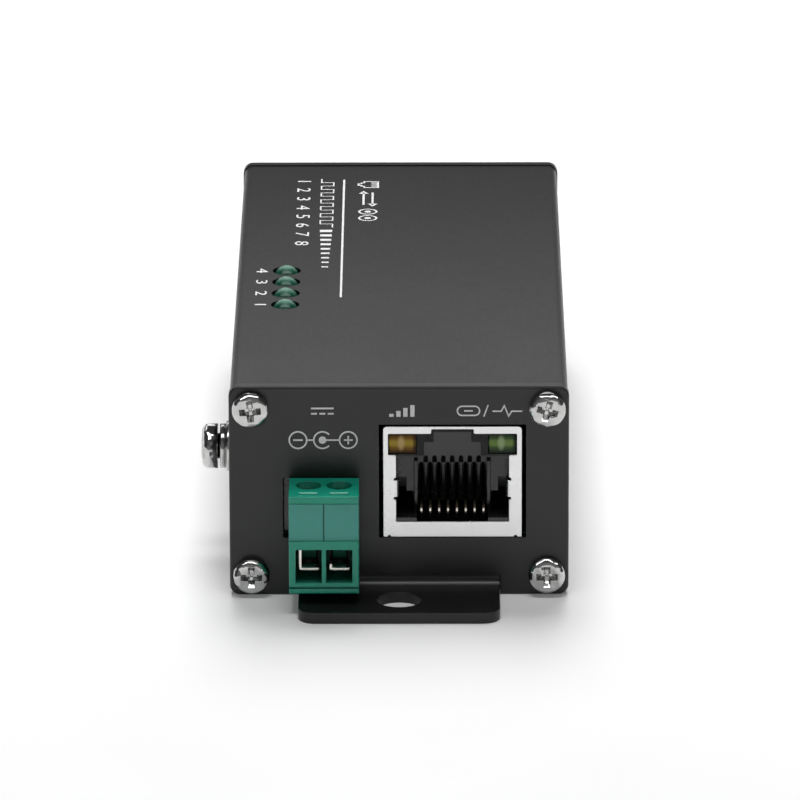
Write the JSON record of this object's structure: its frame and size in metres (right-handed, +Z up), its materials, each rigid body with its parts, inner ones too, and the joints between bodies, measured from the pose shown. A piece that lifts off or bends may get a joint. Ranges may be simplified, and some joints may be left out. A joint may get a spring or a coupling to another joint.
{
  "type": "fibre media converter",
  "caption": "Small black metal network box with a copper socket, pluggable power terminal, status lights, two fibre barrels and mounting ears at both ends.",
  "frame": {"origin": "middle of the base between the two mounting ears, on the plane the ears stand on", "axes": "+Z up, -Y towards the copper socket and power terminal, +Y towards the fibre barrels"},
  "size_m": [0.0426, 0.11, 0.0257],
  "materials": {
    "case_black": "black anodised, fine matte grain",
    "plate_black": "black anodised, satin",
    "screw_nickel": "bright nickel plate",
    "washer_steel": "bright zinc plate",
    "board_green": "solder mask",
    "shield_tin": "satin tin plate",
    "socket_black": "moulded, matte",
    "contact_gold": "gold plate",
    "lamp_amber": "clear moulded",
    "lamp_green": "clear moulded",
    "terminal_black": "moulded, matte",
    "terminal_green": "moulded, semi-gloss",
    "pin_tin": "tin plate",
    "light_green": "tinted clear lens",
    "spacer_white": "moulded nylon",
    "optic_black": "moulded, matte",
    "barrel_zinc": "satin nickel plate",
    "sleeve_white": "white ceramic",
    "chip_black": "moulded epoxy",
    "can_silver": "bright"
  },
  "bodies": {
    "case": {"housing_shell": "case_black", "front_end_plate": "plate_black", "rear_end_plate": "plate_black", "front_plate_screws": "screw_nickel", "rear_plate_screws": "screw_nickel", "circuit_board": "board_green", "jack_shield": "shield_tin", "jack_housing": "socket_black", "jack_contacts": "contact_gold", "jack_lamp_amber": "lamp_amber", "jack_lamp_green": "lamp_green", "power_header": "terminal_black", "power_header_pins": "pin_tin", "status_light_1": "light_green", "status_light_2": "light_green", "status_light_3": "light_green", "status_light_4": "light_green", "status_light_leads": "pin_tin", "light_spacer": "spacer_white", "optical_module": "optic_black", "optical_module_pins": "pin_tin", "fibre_barrel_transmit": "barrel_zinc", "fibre_barrel_receive": "barrel_zinc", "ferrule_sleeve_transmit": "sleeve_white", "ferrule_sleeve_receive": "sleeve_white", "network_transformer": "chip_black", "converter_chip": "chip_black", "regulator_chip": "chip_black", "crystal_can": "can_silver", "power_inductor": "chip_black", "input_diode": "chip_black", "input_capacitor": "can_silver", "output_capacitor": "can_silver"},
    "plug": {"plug_body": "terminal_green", "plug_contacts": "pin_tin"},
    "left_screw": {"plug_screw_left": "screw_nickel"},
    "right_screw": {"plug_screw_right": "screw_nickel"},
    "left_clamp": {"plug_clamp_left": "pin_tin"},
    "right_clamp": {"plug_clamp_right": "pin_tin"},
    "ground_washers": {"ground_spring_washer": "washer_steel", "ground_flat_washer": "washer_steel"},
    "ground_screw": {"ground_screw": "screw_nickel"}
  },
  "joints": [
    {"name": "plug_slide", "type": "slide", "parent": "case", "child": "plug", "axis": [0, -1, 0], "range_m": [0, 0.012]},
    {"name": "left_screw_turn", "type": "hinge", "parent": "plug", "child": "left_screw", "pos_m": [-0.01033, -0.04792, 0.012], "axis": [0, 0, -1], "range_deg": [0, 1895]},
    {"name": "right_screw_turn", "type": "hinge", "parent": "plug", "child": "right_screw", "pos_m": [-0.00683, -0.04792, 0.012], "axis": [0, 0, -1], "range_deg": [0, 1895]},
    {"name": "left_clamp_rise", "type": "slide", "parent": "plug", "child": "left_clamp", "axis": [0, 0, 1], "range_m": [0, 0.0021]},
    {"name": "right_clamp_rise", "type": "slide", "parent": "plug", "child": "right_clamp", "axis": [0, 0, 1], "range_m": [0, 0.0021]},
    {"name": "ground_back_off", "type": "slide", "parent": "case", "child": "ground_washers", "axis": [-1, 0, 0], "range_m": [0, 0.002]},
    {"name": "ground_screw_turn", "type": "hinge", "parent": "ground_washers", "child": "ground_screw", "pos_m": [-0.01937, -0.0284, 0.0126], "axis": [-1, 0, 0], "range_deg": [0, 1445]}
  ],
  "couplings": [
    {"joint": "left_screw_turn", "follows": "left_clamp_rise", "rad_per_m": 15708},
    {"joint": "right_screw_turn", "follows": "right_clamp_rise", "rad_per_m": 15708},
    {"joint": "ground_screw_turn", "follows": "ground_back_off", "rad_per_m": 12566}
  ]
}
